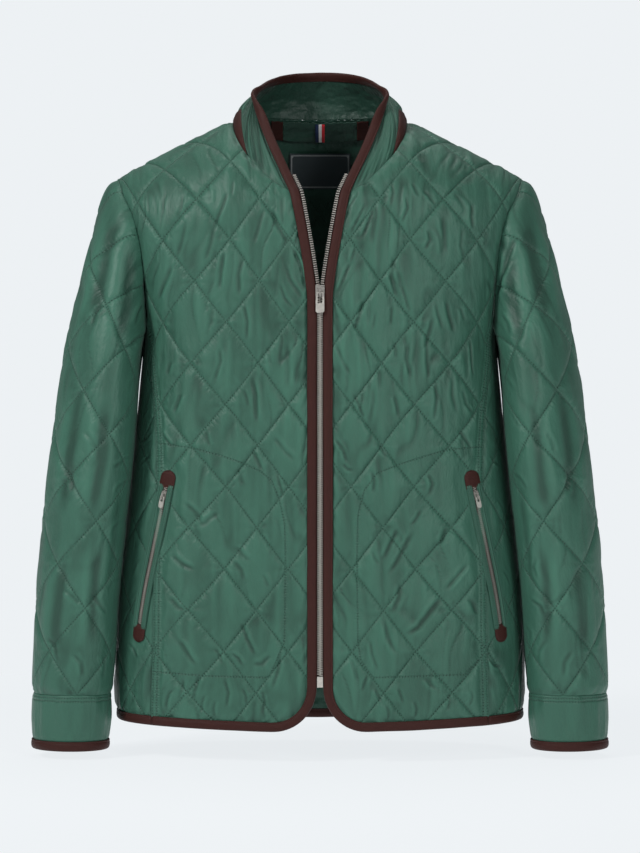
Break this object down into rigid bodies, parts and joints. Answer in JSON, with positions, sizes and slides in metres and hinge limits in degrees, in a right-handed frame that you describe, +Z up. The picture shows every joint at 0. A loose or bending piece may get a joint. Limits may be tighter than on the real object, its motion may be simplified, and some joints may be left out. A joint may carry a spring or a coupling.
{
  "type": "quilted jacket",
  "caption": "Light diamond-quilted jacket with a stand collar, zipped front, bound edges, slanted zip pockets and plain cuffs, filled out as if worn and left empty.",
  "frame": {"origin": "midway between the two points where the shoulder seams meet the collar, where the jacket is held", "axes": "+X to the wearer's left, +Y to the back, +Z up"},
  "size_m": [0.6538, 0.2539, 0.7794],
  "materials": {
    "green_cloth": "fine woven, faint sheen",
    "brown_trim": "soft matt",
    "metal": "bright",
    "zip_tape": "woven tape",
    "navy_label": "woven",
    "ribbon": "woven stripes"
  },
  "bodies": {
    "jacket": {"back": "green_cloth", "collar": "green_cloth", "cuff_binding_left": "brown_trim", "cuff_binding_right": "brown_trim", "cuff_left": "green_cloth", "cuff_right": "green_cloth", "edge_binding": "brown_trim", "facing_end_left": "brown_trim", "facing_end_right": "brown_trim", "front_left": "green_cloth", "front_right": "green_cloth", "hanger_loop": "ribbon", "hem_binding": "brown_trim", "neck_facing": "green_cloth", "neck_gusset_left": "brown_trim", "neck_gusset_right": "brown_trim", "neck_label": "navy_label", "pocket_slider_left": "metal", "pocket_slider_right": "metal", "pocket_tab_end_left": "brown_trim", "pocket_tab_end_right": "brown_trim", "pocket_tab_top_left": "brown_trim", "pocket_tab_top_right": "brown_trim", "pocket_welt_back_left": "green_cloth", "pocket_welt_back_right": "green_cloth", "pocket_welt_front_left": "green_cloth", "pocket_welt_front_right": "green_cloth", "pocket_zip_left": "metal", "pocket_zip_right": "metal", "side_left": "green_cloth", "side_right": "green_cloth", "sleeve_left": "green_cloth", "sleeve_right": "green_cloth", "zip_box": "metal", "zip_slider": "metal", "zip_tape_left": "zip_tape", "zip_tape_right": "zip_tape", "zip_teeth_left": "metal", "zip_teeth_right": "metal"},
    "front_zip_pull": {"zip_pull": "metal"},
    "left_pocket_pull": {"pocket_pull_left": "metal"},
    "right_pocket_pull": {"pocket_pull_right": "metal"}
  },
  "joints": [
    {"name": "front_zip_pull_hinge", "type": "hinge", "parent": "jacket", "child": "front_zip_pull", "pos_m": [0, -0.12616, -0.2002], "axis": [-1, 0, 0], "range_deg": [0, 125]},
    {"name": "left_pocket_pull_hinge", "type": "hinge", "parent": "jacket", "child": "left_pocket_pull", "pos_m": [0.1761, -0.09038, -0.42679], "axis": [-0.8331, -0.5148, -0.2023], "range_deg": [0, 125]},
    {"name": "right_pocket_pull_hinge", "type": "hinge", "parent": "jacket", "child": "right_pocket_pull", "pos_m": [-0.1761, -0.09038, -0.42679], "axis": [-0.8331, 0.5148, 0.2023], "range_deg": [0, 125]}
  ]
}
